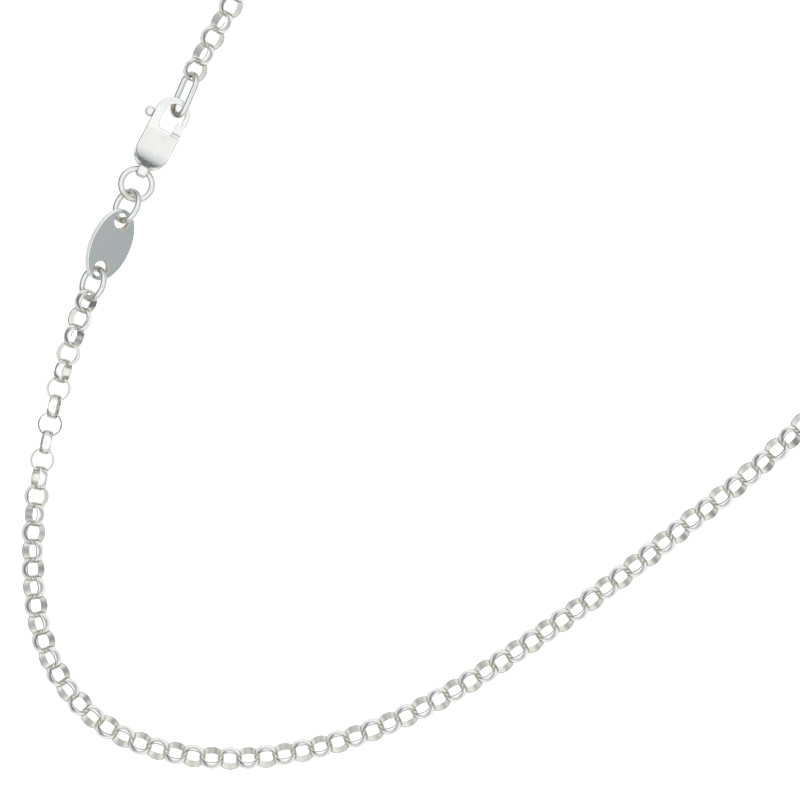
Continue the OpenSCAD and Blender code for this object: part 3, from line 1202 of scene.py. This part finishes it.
    def build_lever(self, finish: Material) -> Piece:
        """Models the lever: pivot eye, gate and thumb arm with its nub.

        Args:
            finish: its material.

        Returns:
            The lever, in the clasp's own frame.
        """
        gate_x = self.width / 2 - self.gate_w / 2
        left = gate_x - self.gate_w / 2
        right = left + self.gate_w
        gate_low = self.opening_foot + self.gap
        arm_x = self.wall_in - self.gap - self.thumb_arm_w / 2
        nub_x = -self.width / 2 - self.nub_out
        half = self.lever_t / 2
        neck = [(left, self.gate_foot), (right, self.gate_foot),
                (right, gate_low + self.gap), (left, gate_low + self.gap)]
        gate = [(left, gate_low), (right, gate_low)] + self.gate_end(
            self.gate_reach, right, left, self.corner_steps)
        lever = drum("clasp_trigger", (*self.pivot, 0), self.eye_d / 2, self.lever_t,
                     sides=self.drum_sides)
        for part in (self.arm(self.pivot, (gate_x, self.gate_foot), self.gate_w),
                     prism("neck", neck, -half, half),
                     self.arm(self.pivot, (arm_x, self.gate_foot), self.thumb_arm_w),
                     self.arm((arm_x, self.gate_foot), (arm_x, self.nub_h), self.thumb_arm_w),
                     self.arm((arm_x, self.nub_h), (nub_x + self.nub_arm_in, self.nub_h),
                              self.nub_arm_share * self.nub_d),
                     prism("gate", gate, -self.gate_t / 2, self.gate_t / 2)):
            work_on(lever, part, Cut.JOINED)
        eye_r = self.rivet_d / 2 + self.rivet_gap
        work_on(lever, drum("eye", (*self.pivot, 0), eye_r, 2 * self.lever_t,
                            sides=self.hole_sides), Cut.AWAY)
        deselect_all()
        bpy.ops.mesh.primitive_uv_sphere_add(
            segments=self.nub_sides, ring_count=self.nub_rings, radius=self.nub_d / 2 * MM,
            location=(nub_x * MM, self.nub_h * MM, 0))
        ball = bpy.context.object
        ball.scale = self.nub_shape
        bpy.ops.object.transform_apply(location=True, scale=True)
        bpy.ops.object.shade_smooth()
        work_on(lever, ball, Cut.JOINED)
        stub_l = self.nub_out - self.nub_clear
        stub = drum("stub", (nub_x + stub_l / 2, self.nub_h, 0), self.stub_share * self.nub_d,
                    stub_l, ALONG_X, self.hole_sides)
        work_on(lever, stub, Cut.JOINED)
        tumble(lever, self.mesh_step, self.lever_passes)
        lever.data.materials.append(finish)
        return lever

    def build(self, face: Material, edge: Material, thumbed: Material) -> None:
        """Builds the clasp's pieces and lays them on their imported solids.

        Args:
            face: the satin of its front and back.
            edge: the burnish of its walls and rounds.
            thumbed: the soft frost of its lever.
        """
        body = self.build_body(face, edge)
        lever = self.build_lever(thumbed)
        rivet = drum("clasp_rivet_head", (*self.pivot, 0), self.rivet_d / 2,
                     self.thickness + self.rivet_proud, sides=self.rivet_sides)
        rivet.data.materials.append(face)
        for piece, rides_on, slot, solid in (
                (body, Body.NECKLACE, Slot.SATIN, "clasp_body"),
                (lever, Body.LEVER, Slot.POLISHED, "clasp_lever"),
                (rivet, Body.NECKLACE, Slot.SATIN, "clasp_rivet")):
            piece.matrix_world = self.place()
            activate(piece)
            bpy.ops.object.transform_apply(location=True, rotation=True, scale=True)
            hand_over(piece, rides_on, solid)


# The studio

LENS: Tones = ((0.9955, "#ffffff"), (0.998, "#40464a"))  # the hole in the tent's top, and the lens


@dataclass
class Studio:
    """A white table in a white tent, seen from straight above through a long lens.

    Lengths are in millimetres where no unit is named. Each side of the tent has its tones by
    height, from -1 straight below to 1 straight above.
    """

    view_centre: Pair = (-21.63, -33.25)
    view_width: float = 103.8
    camera_height: float = 700.0
    sensor: float = 36.0
    sight: float = 20.0  # m
    floor_size: float = 6.0  # m
    floor_tone: str = "#f4f4f4"
    floor_roughness: float = 0.6
    floor_glow: float = 0.8
    brightness: float = 1.1
    side_from: float = 0.25  # how far to a side, from 0 to 1, its tones start
    side_full: float = 0.75  # and where they are the only ones
    open_side: Tones = (
        (-1.0, "#d4d6d6"), (-0.5, "#eaebe9"), (-0.22, "#f4f4f0"), (-0.04, "#cacbc8"),
        (0.1, "#c2c4c2"), (0.28, "#e2e4e4"), (0.5, "#f8fafa"), (0.7, "#ffffff")) + LENS
    left_side: Tones = (
        (-1.0, "#c4c6c6"), (-0.5, "#d8dad8"), (-0.25, "#d8dad8"), (-0.08, "#989ea0"),
        (0.1, "#6a7074"), (0.34, "#868c90"), (0.48, "#d8dcde"), (0.66, "#ffffff")) + LENS
    right_side: Tones = (
        (-1.0, "#d4d6d6"), (-0.5, "#e8e9e7"), (-0.2, "#f0f0ee"), (0.0, "#c8ccce"),
        (0.14, "#a4aaac"), (0.28, "#acb2b4"), (0.46, "#e0e4e6"), (0.66, "#ffffff")) + LENS

    def build(self) -> None:
        """Sets up the floor, the light and the camera."""
        self.floor()
        self.tent()
        self.camera()

    def floor(self) -> None:
        """Lays the white table under the necklace, kept out of the silver's reflections."""
        deselect_all()
        bpy.ops.mesh.primitive_plane_add(size=self.floor_size, location=(0, 0, 0))
        floor = bpy.context.object
        floor.name = "white_table"
        floor.visible_glossy = False
        material, _ = new_material("white_acrylic_sheet", {
            "Base Color": linear(self.floor_tone), "Roughness": self.floor_roughness,
            "Emission Color": linear("#ffffff"), "Emission Strength": self.floor_glow})
        floor.data.materials.append(material)

    def tent(self) -> None:
        """Lights the scene: a bright tent, with a grey band round its sides just over the table.

        The band is darkest on the left, and the dark lens looks in at the top.
        """
        world = bpy.data.worlds.new("light_tent")
        bpy.context.scene.world = world
        world.use_nodes = True
        tree = world.node_tree
        way = add_node(tree, "TexCoord")
        parts = add_node(tree, "SeparateXYZ", {"Vector": way.outputs["Generated"]})
        height = add_node(tree, "MapRange", {"Value": parts.outputs["Z"], "From Min": -1.0})
        cloths = []
        for tones in (self.open_side, self.left_side, self.right_side):
            cloth = add_node(tree, "ValToRGB", {"Fac": height.outputs["Result"]})
            stops = cloth.color_ramp.elements
            while len(stops) < len(tones):
                stops.new(0.5)
            for stop, (rise, tone) in zip(stops, tones):
                stop.position = (rise + 1) / 2
                stop.color = linear(tone)
            cloths.append(cloth.outputs["Color"])
        sky = cloths[0]
        for cloth, edge in zip(cloths[1:], (-1, 1)):
            share = add_node(tree, "MapRange", {
                "Value": parts.outputs["X"], "From Min": self.side_from * edge,
                "From Max": self.side_full * edge}, interpolation_type="SMOOTHSTEP")
            mixed = add_node(tree, "Mix", {
                "Factor": share.outputs["Result"], "A": sky, "B": cloth}, data_type="RGBA")
            sky = mixed.outputs["Result"]
        feed(tree, tree.nodes["Background"], {"Color": sky, "Strength": self.brightness})

    def camera(self) -> None:
        """Sets the camera straight above the picture's middle, with its top towards +Y."""
        data = bpy.data.cameras.new("camera")
        camera = bpy.data.objects.new("camera", data)
        bpy.context.scene.collection.objects.link(camera)
        data.sensor_width = self.sensor
        data.lens = self.sensor * self.camera_height / self.view_width
        data.clip_end = self.sight
        camera.location = [c * MM for c in (*self.view_centre, self.camera_height)]
        bpy.context.scene.camera = camera
        bpy.context.scene.view_settings.view_transform = "Standard"


def main() -> None:
    """Builds the necklace and its studio."""
    logging.basicConfig(level=logging.INFO, format="%(name)s: %(message)s")
    polished = TumbledSilver().build()
    # Drawn wire: a soft mirror; its silver is greyer than the links' as painted shade, so that its
    # dark edges stand out on white
    drawn = TumbledSilver(name="drawn_sterling_silver", metal="#e2e4e5").build()
    satin = SatinSilver().build()
    tag = OvalTag()
    # Rolled sheet: a smooth pale grey, with faint long streaks of gloss along the tag; the grey is
    # painted shade, the silver made darker
    rolled = SatinSilver(name="rolled_sterling_silver", metal="#c8cbca", roughness=0.24,
                         grain=0.12, grain_depth=0.0012, stretch=9.0,
                         heading=tag.heading()).build()
    RoloChain().build(polished)
    WireLoop("oval_end_link", "end_link", ("end_link", "clasp_rivet"),
             bend_r=1.31, straight=3.0, painted_shade=1.0).build(drawn)
    # Frosted castings: white and even, with no clear reflection
    frosted = SatinSilver(name="frosted_sterling_silver", metal="#f4f6f4", roughness=0.48).build()
    # Burnished rims: a thin grey mirror line round the clasp's pale faces; the grey is painted
    # shade, the silver made darker
    rim = TumbledSilver(name="burnished_sterling_silver", metal="#cbcfd3").build()
    Clasp().build(satin, rim, frosted)
    WireLoop("ring_on_clasp", "clasp_ring", ("clasp_ring", "tag_ring_upper")).build(drawn)
    WireLoop("ring_above_tag", "tag_ring_upper", ("clasp_ring", "oval_tag")).build(drawn)
    tag.build(rolled, polished)
    WireLoop("ring_below_tag", "tag_ring_lower", ("oval_tag", "tag_ring_lower")).build(drawn)
    Studio().build()


if __name__ == "__main__":
    main()
